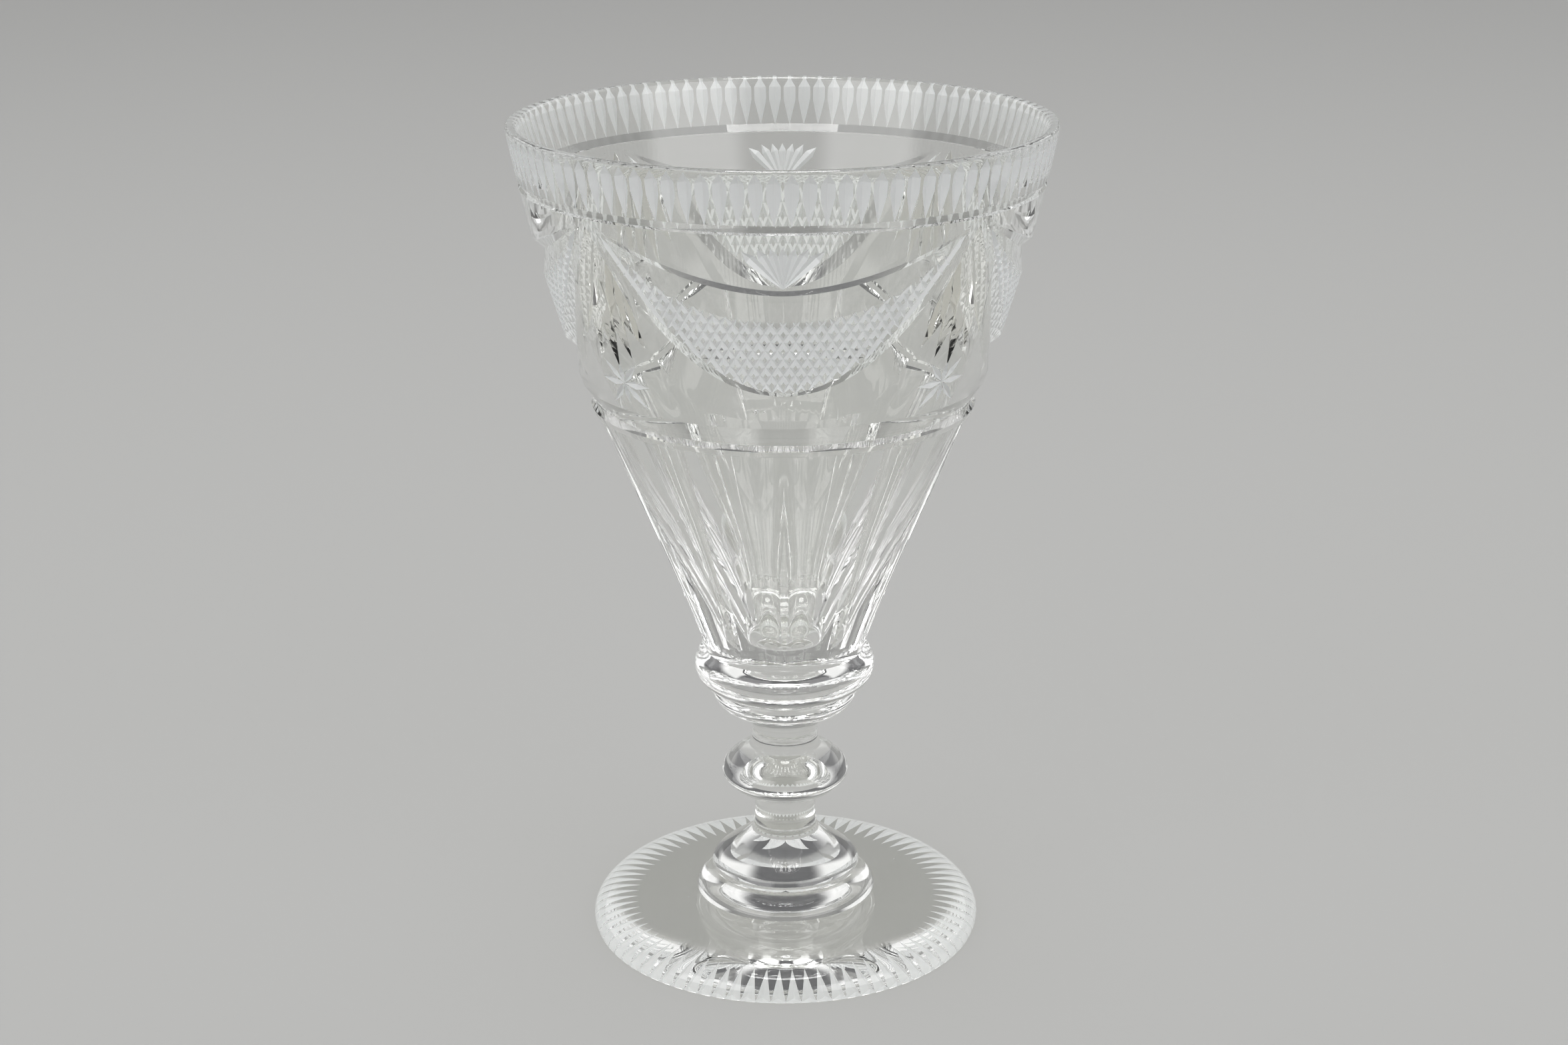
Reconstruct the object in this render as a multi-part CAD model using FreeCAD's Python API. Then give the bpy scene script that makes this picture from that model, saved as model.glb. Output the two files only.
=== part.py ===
import FreeCAD, Part
import math
import os

# Antique cut-glass wine goblet, every gather of glass a solid of its own.
# Millimetres, +Z up, the centre of the foot's underside at the origin.

# Heights of the gathers, from the table upward
foot_height = 8.6
ring_height = 4.4
base_knop_height = 11.5
lower_stem_height = 10.0
central_knop_height = 13.8
upper_stem_height = 8.7
lower_collar_height = 7.8
upper_collar_height = 10.7
bowl_height = 134.5

# Widest radius of each gather
foot_radius = 50.0
ring_radius = 22.4
base_knop_radius = 19.1
central_knop_radius = 16.2
lower_collar_radius = 18.2
upper_collar_radius = 22.9
rim_radius = 66.2

# Radius of the fused disc where one gather joins the next
foot_joint_radius = 23.2
ring_joint_radius = 17.2
base_joint_radius = 8.7
knop_low_joint_radius = 8.3
knop_top_joint_radius = 9.2
stem_top_joint_radius = 9.6
collar_joint_radius = 17.6
bowl_joint_radius = 20.2

# Thinnest radius of the two stem lengths
lower_stem_waist = 7.8
upper_stem_waist = 8.4

# Inside of the bowl
rim_wall = 2.6
rim_lip_rounding = 0.9
bowl_floor_thickness = 5.1

# Uncut shapes: share of the height, share of the widest radius
foot_edge_shares = ((0.35, 1.0), (0.58, 0.968), (0.8, 0.896), (0.92, 0.76), (0.965, 0.6))
ring_belly_share = 0.4
base_knop_shares = ((0.2, 1.0), (0.52, 0.845), (0.86, 0.56))
knop_belly_share = 0.5
lower_collar_shares = ((0.12, 0.7), (0.42, 0.91), (0.8, 1.0))
upper_collar_shares = ((0.2, 0.93), (0.6, 1.0))
bowl_outer_shares = (
    (0.108, 0.387), (0.256, 0.514), (0.405, 0.65), (0.554, 0.762),
    (0.71, 0.861), (0.851, 0.937),
)
bowl_inner_shares = (
    (0.0015, 0.071), (0.0085, 0.116), (0.026, 0.148), (0.073, 0.204), (0.127, 0.27), (0.186, 0.343),
    (0.332, 0.519), (0.478, 0.66), (0.672, 0.799), (0.847, 0.904),
)

# Rim band: lancet flutes between the lip and a stepped ring
rim_flute_count = 104
rim_flute_drop = 0.7
rim_flute_length = 12.2
rim_flute_width = 3.1
rim_flute_depth = 1.0
rim_flute_full_shares = (0.2, 0.45)
step_ring_drop = 12.5
step_ring_width = 2.2
step_ring_depth = 0.8

# Four swags, each between two peaks on the same level
swag_count = 4
peak_drop = 15.8
peak_angle = 43.2
upper_swag_sag = 12.0
upper_swag_power = 1.7
hatch_top_sag = 19.8
hatch_top_power = 2.4
hatch_low_sag = 37.4
hatch_low_power = 2.0
lower_swag_sag = 44.7
lower_swag_power = 3.9
swag_groove_depth = 2.1
groove_root_share = 0.3
groove_over_share = 0.5
groove_under_share = 0.4
swag_section_count = 9
swag_end_share = 0.95
swag_curve_degree = 3

# Diamond hatch of two families of mitre cuts between the grooves of each swag.
# The real hatch has a finer cut between each two of these.
diamond_width = 2.9
diamond_height = 4.2
hatch_line_step = 2
hatch_width = 1.5
hatch_depth = 0.6
hatch_overshoot = 0.4
hatch_search_step = 0.2
hatch_end_share = 0.95
hatch_path_shares = (0.0, 0.12, 0.5, 0.88, 1.0)

# Half sunburst above the middle of each swag
fan_blade_length = 10.3
fan_blade_width = 2.0
fan_blade_depth = 0.7
fan_blade_spread = 9.2
fan_side_shares = (-1.0, -0.62, -0.3, 0.0, 0.3, 0.62, 1.0)
fan_length_shares = (0.9, 0.97, 0.99, 1.0, 0.99, 0.97, 0.9)
fan_full_share = 0.8

# Tassel of five mitre cuts under each peak, a star below it
tassel_top_gap = 0.6
tassel_length = 34.6
tassel_width = 3.9
tassel_depth = 1.3
tassel_spread = 10.2
tassel_side_shares = (-1.0, -0.5, 0.0, 0.5, 1.0)
tassel_length_shares = (0.815, 0.91, 1.0, 0.91, 0.815)
tassel_full_share = 0.68
star_drop = 55.0
star_ray = 8.2
star_ray_shares = (0.63, 0.92, 0.95, 1.0, 0.63, 1.0, 0.95, 0.92)
star_ray_width = 1.7
star_ray_depth = 0.6
star_full_share = 0.45

# Ring groove between the swag zone and the basal flutes
waist_groove_drop = 67.6
waist_groove_upper = 5.0
waist_groove_lower = 1.3
waist_groove_depth = 1.5

# Broad basal flutes meeting at sharp arrises
basal_flute_count = 12
basal_flute_top_drop = 70.3
basal_flute_low_gap = 2.6
basal_flute_depth_share = 0.072

# Radial mitre cuts under the foot, meeting at sharp arrises before they run out inside its edge
foot_cut_count = 80
foot_cut_sets = 2
foot_cut_margin = 0.2
foot_cut_length = 11.4
foot_cut_width = 4.5
foot_cut_depth = 1.15
foot_cut_full_share = 0.92

# Small distances that let a cutter stand clear of the glass it cuts
cutter_clearance = 0.4
cutter_overrun = 3.0

full_turn = 360.0
half = 0.5
bisection_steps = 40
up = FreeCAD.Vector(0, 0, 1)
origin = FreeCAD.Vector(0, 0, 0)

# Levels, each from the one below
ring_base = foot_height
base_knop_base = ring_base + ring_height
lower_stem_base = base_knop_base + base_knop_height
central_knop_base = lower_stem_base + lower_stem_height
upper_stem_base = central_knop_base + central_knop_height
lower_collar_base = upper_stem_base + upper_stem_height
upper_collar_base = lower_collar_base + lower_collar_height
bowl_base = upper_collar_base + upper_collar_height
rim_level = bowl_base + bowl_height
peak_level = rim_level - peak_drop


def point(radius, level, angle=0.0):
    """Point at a radius, a height and an angle in degrees about the axis."""
    turn = math.radians(angle)
    return FreeCAD.Vector(radius * math.sin(turn), -radius * math.cos(turn), level)


def spline(points):
    """Smooth edge through a few points."""
    curve = Part.BSplineCurve()
    curve.interpolate(points)
    return curve.toShape()


def turned(edges):
    """Solid turned from a closed outline in the plane that holds the axis."""
    outline = Part.Wire(Part.__sortEdges__(edges))
    return Part.Face(outline).revolve(origin, up, full_turn)


def profile_curve(low, high, shares, widest, height, base):
    """Outer edge from a low to a high joint radius through a table of shares."""
    points = [point(low, base)]
    points += [point(widest * wide, base + height * tall) for tall, wide in shares]
    points.append(point(high, base + height))
    return spline(points)


def gather(low, high, shares, widest, height, base):
    """Solid gather of glass between two flat joints."""
    top = base + height
    return turned([
        profile_curve(low, high, shares, widest, height, base),
        Part.makeLine(point(high, top), point(0, top)),
        Part.makeLine(point(0, top), point(0, base)),
        Part.makeLine(point(0, base), point(low, base)),
    ])


def polyhedron(faces):
    """Solid closed by flat faces, each a list of corner points."""
    shell = Part.Shell([Part.Face(Part.makePolygon(corners + corners[:1])) for corners in faces])
    return Part.Solid(shell)


def straight(start, finish, full_shares):
    """Path of a straight cut: its first tip, the places where it is full and its last tip."""
    return [start] + [start + (finish - start) * share for share in full_shares] + [finish]


def mitre(path, outward, width, depth, overrun=cutter_overrun):
    """Wheel cut with two flat sides, pointed at both ends of its path and full between."""
    start = path[0]
    finish = path[-1]
    side = (finish - start).cross(outward).normalize()
    root = outward * -depth
    flare = outward * overrun
    reach = side * (width * half * (depth + overrun) / depth)
    rings = [[middle + root, middle + flare + reach, middle + flare - reach] for middle in path[1:-1]]
    first = rings[0]
    last = rings[-1]
    faces = []
    for i in range(len(first)):
        j = (i + 1) % len(first)
        faces.append([start, first[j], first[i]])
        faces.append([finish, last[i], last[j]])
        for low, high in zip(rings, rings[1:]):
            faces.append([low[i], low[j], high[j], high[i]])
    return polyhedron(faces)


class BowlSurface:
    """Uncut outside of the bowl, read by height for every cut that follows it."""

    def __init__(self):
        self.curve = Part.BSplineCurve()
        points = [point(bowl_joint_radius, bowl_base)]
        for tall, wide in bowl_outer_shares:
            points.append(point(rim_radius * wide, bowl_base + bowl_height * tall))
        points.append(point(rim_radius, rim_level))
        self.curve.interpolate(points)

    def radius(self, level):
        """Radius of the outside at a height."""
        low = self.curve.FirstParameter
        high = self.curve.LastParameter
        for _ in range(bisection_steps):
            middle = (low + high) * half
            if self.curve.value(middle).z < level:
                low = middle
            else:
                high = middle
        return -self.curve.value(low).y

    def outward(self, level, angle):
        """Outward normal of the outside at a height and angle."""
        reach = cutter_clearance
        slope = (self.radius(level + reach) - self.radius(level - reach)) * half / reach
        return point(1, -slope, angle).normalize()

    def spot(self, level, angle):
        """Point of the outside at a height and angle."""
        return point(self.radius(level), level, angle)

    def beside(self, level, angle, offset):
        """Point of the outside at a sideways distance from an angle."""
        return self.spot(level, angle + math.degrees(offset / self.radius(level)))


def bowl_blank(surface):
    """Uncut bowl with its smooth hollow and rounded lip."""
    inner_radius = rim_radius - rim_wall
    floor = bowl_base + bowl_floor_thickness
    depth = rim_level - floor
    inner = [point(0, floor)]
    for tall, wide in bowl_inner_shares:
        inner.append(point(inner_radius * wide, floor + depth * tall))
    inner.append(point(inner_radius, rim_level))
    hollow = Part.BSplineCurve()
    hollow.interpolate(Points=inner, Tangents=[point(1, 0)] + [origin] * (len(inner) - 1),
                       TangentFlags=[True] + [False] * (len(inner) - 1))
    solid = turned([
        surface.curve.toShape(),
        Part.makeLine(point(rim_radius, rim_level), point(inner_radius, rim_level)),
        hollow.toShape(),
        Part.makeLine(point(0, floor), point(0, bowl_base)),
        Part.makeLine(point(0, bowl_base), point(bowl_joint_radius, bowl_base)),
    ])
    lip = [edge for edge in solid.Edges
           if edge.Closed and abs(edge.CenterOfMass.z - rim_level) < cutter_clearance]
    return solid.makeFillet(rim_lip_rounding, lip)


def rim_flutes(surface):
    """Lancet flutes round the rim band."""
    top = rim_level - rim_flute_drop
    bottom = top - rim_flute_length
    cuts = []
    for i in range(rim_flute_count):
        angle = full_turn * (i + half) / rim_flute_count
        outward = surface.outward((top + bottom) * half, angle)
        start = surface.spot(top, angle)
        finish = surface.spot(bottom, angle)
        path = straight(start, finish, rim_flute_full_shares)
        cuts.append(mitre(path, outward, rim_flute_width, rim_flute_depth))
    return cuts


def turned_groove(surface, high, low, root_level, depth):
    """Groove turned round the bowl between two heights."""
    root = point(surface.radius(root_level) - depth, root_level)
    top = surface.spot(high, 0)
    bottom = surface.spot(low, 0)
    away = point(cutter_overrun, 0)
    corners = [root, top, top + away, bottom + away, bottom]
    return turned([Part.makeLine(a, b) for a, b in zip(corners, corners[1:] + corners[:1])])


def swag_level(share, sag, power):
    """Height of a swag line at a share of the way from its middle to a peak."""
    return peak_level - sag * (1 - abs(share) ** power)


def swag_groove(surface, middle, upper_line, lower_line):
    """Groove with a narrow upper and a wide lower side, hung between two peaks."""
    sections = []
    for i in range(swag_section_count):
        share = swag_end_share * (i / (swag_section_count - 1) - half) / half
        angle = middle + peak_angle * share
        high = swag_level(share, *upper_line)
        low = swag_level(share, *lower_line)
        root_level = high - (high - low) * groove_root_share
        fade = 1 - share ** 2
        outward = surface.outward(root_level, angle)
        depth = swag_groove_depth * fade - cutter_clearance * (1 - fade)
        root = surface.spot(root_level, angle) - outward * depth
        top = surface.spot(high, angle)
        bottom = surface.spot(low, angle)
        away = outward * cutter_overrun
        over = (top - root) * groove_over_share
        under = (bottom - root) * groove_under_share
        corners = [root, top + over, top + over + away, bottom + under + away, bottom + under]
        sections.append(Part.makePolygon(corners + corners[:1]))
    return Part.makeLoft(sections, True, False, False, swag_curve_degree)


def hatch_runs(start_angle, rate):
    """Levels where a hatch line lies between the grooves, from its angle and its lean by height."""
    lowest = peak_level - hatch_low_sag
    runs = []
    inside = []
    for i in range(math.ceil(hatch_low_sag / hatch_search_step) + 1):
        level = lowest + hatch_search_step * i
        share = (start_angle + rate * (level - lowest)) / peak_angle
        low = swag_level(share, hatch_low_sag, hatch_low_power)
        high = swag_level(share, hatch_top_sag, hatch_top_power)
        if abs(share) < hatch_end_share and low < level < high:
            inside.append(level)
            continue
        if inside and inside[-1] - inside[0] > hatch_width:
            runs.append((inside[0] - hatch_overshoot, inside[-1] + hatch_overshoot))
        inside = []
    return runs


def hatch(surface, middle, lean):
    """One family of parallel mitre cuts across a swag, from groove to groove."""
    lowest = peak_level - hatch_low_sag
    middle_radius = surface.radius((lowest + peak_level) * half)
    slant = lean * diamond_width / diamond_height
    rate = math.degrees(slant / middle_radius)
    reach = math.radians(peak_angle) * middle_radius + hatch_low_sag * abs(slant)
    count = hatch_line_step * math.ceil(reach / diamond_width / hatch_line_step)
    cuts = []
    for number in range(-count, count + 1, hatch_line_step):
        start_angle = math.degrees(number * diamond_width / middle_radius)
        for low, high in hatch_runs(start_angle, rate):
            levels = [low + (high - low) * share for share in hatch_path_shares]
            angles = [middle + start_angle + rate * (level - lowest) for level in levels]
            path = [surface.spot(level, angle) for level, angle in zip(levels, angles)]
            outward = surface.outward((low + high) * half, (angles[0] + angles[-1]) * half)
            cuts.append(mitre(path, outward, hatch_width, hatch_depth, cutter_clearance * half))
    return cuts


def fan(surface, middle):
    """Half sunburst of blades standing on the swag's upper line."""
    foot = peak_level - upper_swag_sag
    cuts = []
    for side, reach in zip(fan_side_shares, fan_length_shares):
        start = surface.spot(foot + cutter_clearance, middle)
        finish = surface.beside(foot + fan_blade_length * reach, middle, fan_blade_spread * side)
        outward = surface.outward(foot + fan_blade_length * half, middle)
        path = straight(start, finish, [fan_full_share])
        cuts.append(mitre(path, outward, fan_blade_width, fan_blade_depth))
    return cuts


def tassel(surface, angle):
    """Long mitre cuts that spread downward from a peak."""
    top = peak_level - tassel_top_gap
    start = surface.spot(top, angle)
    cuts = []
    for side, reach in zip(tassel_side_shares, tassel_length_shares):
        finish = surface.beside(top - tassel_length * reach, angle, tassel_spread * side)
        outward = surface.outward(top - tassel_length * half, angle)
        path = straight(start, finish, [tassel_full_share])
        cuts.append(mitre(path, outward, tassel_width, tassel_depth))
    return cuts


def star(surface, angle):
    """Pointed star of rays at even angles, the first one upward."""
    level = rim_level - star_drop
    centre = surface.spot(level, angle)
    outward = surface.outward(level, angle)
    cuts = []
    for i, reach in enumerate(star_ray_shares):
        turn = math.radians(full_turn * i / len(star_ray_shares))
        length = star_ray * reach
        finish = surface.beside(level + length * math.cos(turn), angle, length * math.sin(turn))
        path = straight(centre, finish, [star_full_share])
        cuts.append(mitre(path, outward, star_ray_width, star_ray_depth))
    return cuts


def basal_flutes(surface):
    """Broad hollow flutes, each a leaning cone through two arrises and the flute's own floor."""
    top = rim_level - basal_flute_top_drop
    bottom = bowl_base + basal_flute_low_gap
    half_turn = math.radians(full_turn * half / basal_flute_count)
    cuts = []
    ends = []
    for level in (bottom, top):
        wide = surface.radius(level)
        floor = wide * (1 - basal_flute_depth_share)
        hollow = (wide ** 2 + floor ** 2 - wide * floor * math.cos(half_turn) / half) * half
        hollow /= wide * math.cos(half_turn) - floor
        ends.append((level, floor, hollow))
    for i in range(basal_flute_count):
        angle = full_turn * (i + half) / basal_flute_count
        (low, low_floor, low_hollow), (high, high_floor, high_hollow) = ends
        low_centre = point(low_floor + low_hollow, low, angle)
        high_centre = point(high_floor + high_hollow, high, angle)
        cutter = Part.makeCone(low_hollow, high_hollow, high - low, low_centre, up)
        shift = high_centre - low_centre - up * (high - low)
        shear = FreeCAD.Matrix()
        shear.A13 = shift.x / (high - low)
        shear.A23 = shift.y / (high - low)
        shear.A14 = -shear.A13 * low
        shear.A24 = -shear.A23 * low
        cuts.append(cutter.transformGeometry(shear))
    return cuts


def build_bowl():
    """Bowl with every cut of its pattern."""
    surface = BowlSurface()
    bowl = bowl_blank(surface)
    step_high = rim_level - step_ring_drop
    step_low = step_high - step_ring_width
    groove_root = rim_level - waist_groove_drop
    cuts = [
        turned_groove(surface, step_high, step_low, step_low + cutter_clearance, step_ring_depth),
        turned_groove(surface, groove_root + waist_groove_upper, groove_root - waist_groove_lower,
                      groove_root, waist_groove_depth),
    ]
    upper = ((upper_swag_sag, upper_swag_power), (hatch_top_sag, hatch_top_power))
    lower = ((hatch_low_sag, hatch_low_power), (lower_swag_sag, lower_swag_power))
    for i in range(swag_count):
        middle = full_turn * i / swag_count
        peak = middle + full_turn * half / swag_count
        cuts.append(swag_groove(surface, middle, *upper))
        cuts.append(swag_groove(surface, middle, *lower))
        cuts += fan(surface, middle)
        cuts += tassel(surface, peak)
        cuts += star(surface, peak)
    bowl = bowl.cut(rim_flutes(surface))
    bowl = bowl.cut(cuts)
    for lean in (1, -1):
        swags = [hatch(surface, full_turn * i / swag_count, lean) for i in range(swag_count)]
        bowl = bowl.cut(sum(swags, []))
    return bowl.cut(basal_flutes(surface))


def build_foot():
    """Foot with a smooth domed top and mitre cuts under its edge."""
    top = foot_height
    edge = profile_curve(foot_radius, foot_joint_radius, foot_edge_shares, foot_radius, foot_height, 0)
    foot = turned([
        edge,
        Part.makeLine(point(foot_joint_radius, top), point(0, top)),
        Part.makeLine(point(0, top), origin),
        Part.makeLine(origin, point(foot_radius, 0)),
    ])
    last = foot_radius - foot_cut_margin
    tip = last - foot_cut_length
    for first in range(foot_cut_sets):
        cuts = []
        for i in range(first, foot_cut_count, foot_cut_sets):
            angle = full_turn * (i + half) / foot_cut_count
            path = straight(point(tip, 0, angle), point(last, 0, angle), [foot_cut_full_share])
            cuts.append(mitre(path, -up, foot_cut_width, foot_cut_depth, cutter_clearance))
        foot = foot.cut(cuts)
    return foot


def build_parts():
    """Every piece by its name."""
    belly = ((knop_belly_share, 1.0),)
    return {
        "foot": build_foot(),
        "foot_ring": gather(foot_joint_radius, ring_joint_radius, ((ring_belly_share, 1.0),),
                            ring_radius, ring_height, ring_base),
        "base_knop": gather(ring_joint_radius, base_joint_radius, base_knop_shares,
                            base_knop_radius, base_knop_height, base_knop_base),
        "lower_stem": gather(base_joint_radius, knop_low_joint_radius, belly,
                             lower_stem_waist, lower_stem_height, lower_stem_base),
        "central_knop": gather(knop_low_joint_radius, knop_top_joint_radius, belly,
                               central_knop_radius, central_knop_height, central_knop_base),
        "upper_stem": gather(knop_top_joint_radius, stem_top_joint_radius, belly,
                             upper_stem_waist, upper_stem_height, upper_stem_base),
        "lower_collar": gather(stem_top_joint_radius, collar_joint_radius, lower_collar_shares,
                               lower_collar_radius, lower_collar_height, lower_collar_base),
        "upper_collar": gather(collar_joint_radius, bowl_joint_radius, upper_collar_shares,
                               upper_collar_radius, upper_collar_height, upper_collar_base),
        "bowl": build_bowl(),
    }


os.makedirs("parts", exist_ok=True)
for name, shape in build_parts().items():
    shape.exportStep("parts/" + name + ".step")
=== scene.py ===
import logging
import math
from collections.abc import Callable
from dataclasses import dataclass
from enum import IntEnum

import bmesh
import bpy
import numpy as np
from mathutils import Matrix, Vector


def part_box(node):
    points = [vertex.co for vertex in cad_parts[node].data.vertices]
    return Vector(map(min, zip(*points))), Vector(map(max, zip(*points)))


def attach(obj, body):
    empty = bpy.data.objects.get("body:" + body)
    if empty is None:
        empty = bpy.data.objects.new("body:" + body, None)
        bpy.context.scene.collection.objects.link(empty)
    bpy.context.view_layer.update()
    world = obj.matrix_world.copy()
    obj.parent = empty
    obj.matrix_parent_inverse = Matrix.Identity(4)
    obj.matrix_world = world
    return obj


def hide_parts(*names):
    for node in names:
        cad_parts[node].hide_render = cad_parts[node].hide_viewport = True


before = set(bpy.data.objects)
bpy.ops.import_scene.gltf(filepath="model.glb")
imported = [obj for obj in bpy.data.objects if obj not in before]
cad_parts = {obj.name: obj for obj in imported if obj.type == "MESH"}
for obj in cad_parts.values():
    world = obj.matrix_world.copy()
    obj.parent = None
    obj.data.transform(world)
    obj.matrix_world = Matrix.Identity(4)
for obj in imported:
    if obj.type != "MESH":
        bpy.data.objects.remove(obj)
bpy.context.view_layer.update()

# Antique cut-glass wine goblet in metres, +Z up, each gather of glass a finished piece over its node.
# Angles round the axis are in degrees: 0 faces the camera and they grow towards +X.

log = logging.getLogger("goblet")

MM = 0.001
TOUCH = 0.01 * MM
FULL_TURN = 360.0
Shares = tuple[tuple[float, float], ...]


class Surface(IntEnum):
    """Finishes of the glass, in the order of the material slots that every piece has."""

    POLISHED = 0
    FUSED = 1
    WHEEL_CUT = 2
    SATIN = 3


def linear(code: str) -> tuple[float, float, float, float]:
    """Linear colour of an sRGB hex code.

    Args:
        code: Hex code such as "#F2F3EC".

    Returns:
        Red, green, blue and an alpha of 1.
    """
    parts = [int(code[i:i + 2], 16) / 255 for i in (1, 3, 5)]
    red, green, blue = (p / 12.92 if p <= 0.04045 else ((p + 0.055) / 1.055) ** 2.4 for p in parts)
    return red, green, blue, 1.0


def add_node(tree: bpy.types.NodeTree, kind: str, links: dict[str | int, object] | None = None,
             **settings: object) -> bpy.types.Node:
    """Adds a node with its settings, values and links.

    Args:
        tree: Node tree that gets the node.
        kind: Node type, such as "ShaderNodeTexNoise".
        links: Input names or numbers, each with a value or with the socket that feeds it.
        settings: Attributes of the node.

    Returns:
        The new node.
    """
    node = tree.nodes.new(kind)
    for name, value in settings.items():
        setattr(node, name, value)
    for name, value in (links or {}).items():
        if isinstance(value, bpy.types.NodeSocket):
            tree.links.new(value, node.inputs[name])
        else:
            node.inputs[name].default_value = value
    return node


def new_tree(name: str) -> tuple[bpy.types.Material, bpy.types.NodeTree]:
    """Empty node material.

    Args:
        name: Name of the material.

    Returns:
        The material and its cleared node tree.
    """
    material = bpy.data.materials.new(name)
    material.use_nodes = True
    material.node_tree.nodes.clear()
    return material, material.node_tree


@dataclass(frozen=True)
class LeadGlass:
    """Lead crystal, worked hot and then cut: heavy and bright, with a faint straw-grey body.

    The pot metal is never quite even, so the surface ripples softly and its tint drifts.
    What the wheel leaves is the roughness. A fine cut that was never polished stays satin:
    it scatters part of the light, which makes it a pale grey that hides what is behind it.
    Light on its way to the floor passes straight through, so the shadow is pale, as glass casts it.
    """

    name: str
    tint: str = "#FDFDFC"
    drift: str = "#F9FAF7"
    shade: str = "#FAFAF9"
    ior: float = 1.56
    clear: float = 1.0
    polish: float = 0.0
    wear: float = 0.02
    wear_size: float = 5 * MM
    wear_start: float = 0.5
    wear_full: float = 0.8
    ripple_length: float = 16 * MM
    ripple_height: float = 0.008 * MM

    def material(self) -> bpy.types.Material:
        """Makes the finish as a node material.

        Returns:
            The material.
        """
        material, tree = new_tree(self.name)
        place = add_node(tree, "ShaderNodeTexCoord").outputs["Object"]
        slow = add_node(tree, "ShaderNodeTexNoise",
                        {"Vector": place, "Scale": 1 / self.ripple_length, "Detail": 1.0})
        fine = add_node(tree, "ShaderNodeTexNoise",
                        {"Vector": place, "Scale": 1 / self.wear_size, "Detail": 4.0})
        tint = add_node(tree, "ShaderNodeMix",
                        {"Factor": slow.outputs["Fac"], "A": linear(self.tint), "B": linear(self.drift)},
                        data_type="RGBA")
        rough = add_node(tree, "ShaderNodeMapRange",
                         {"Value": fine.outputs["Fac"], "From Min": self.wear_start,
                          "From Max": self.wear_full, "To Min": self.polish, "To Max": self.wear})
        bump = add_node(tree, "ShaderNodeBump",
                        {"Height": slow.outputs["Fac"], "Distance": self.ripple_height, "Strength": 1.0})
        glass = add_node(tree, "ShaderNodeBsdfPrincipled",
                         {"Base Color": tint.outputs["Result"], "Roughness": rough.outputs["Result"],
                          "Normal": bump.outputs["Normal"], "IOR": self.ior,
                          "Transmission Weight": self.clear})
        rays = add_node(tree, "ShaderNodeLightPath").outputs
        clear = add_node(tree, "ShaderNodeBsdfTransparent", {"Color": linear(self.shade)})
        shown = glass.outputs["BSDF"]
        for kind in ("Is Diffuse Ray", "Is Shadow Ray"):
            shown = add_node(tree, "ShaderNodeMixShader",
                             {0: rays[kind], 1: shown, 2: clear.outputs["BSDF"]}).outputs["Shader"]
        add_node(tree, "ShaderNodeOutputMaterial", {"Surface": shown})
        return material


@dataclass(frozen=True)
class FusedSeam:
    """Disc where two gathers were joined hot: the glass runs on through it, so it can't be seen."""

    name: str = "fused_seam"

    def material(self) -> bpy.types.Material:
        """Makes the seam as a clear material.

        Returns:
            The material.
        """
        material, tree = new_tree(self.name)
        clear = add_node(tree, "ShaderNodeBsdfTransparent")
        add_node(tree, "ShaderNodeOutputMaterial", {"Surface": clear.outputs["BSDF"]})
        return material


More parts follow.
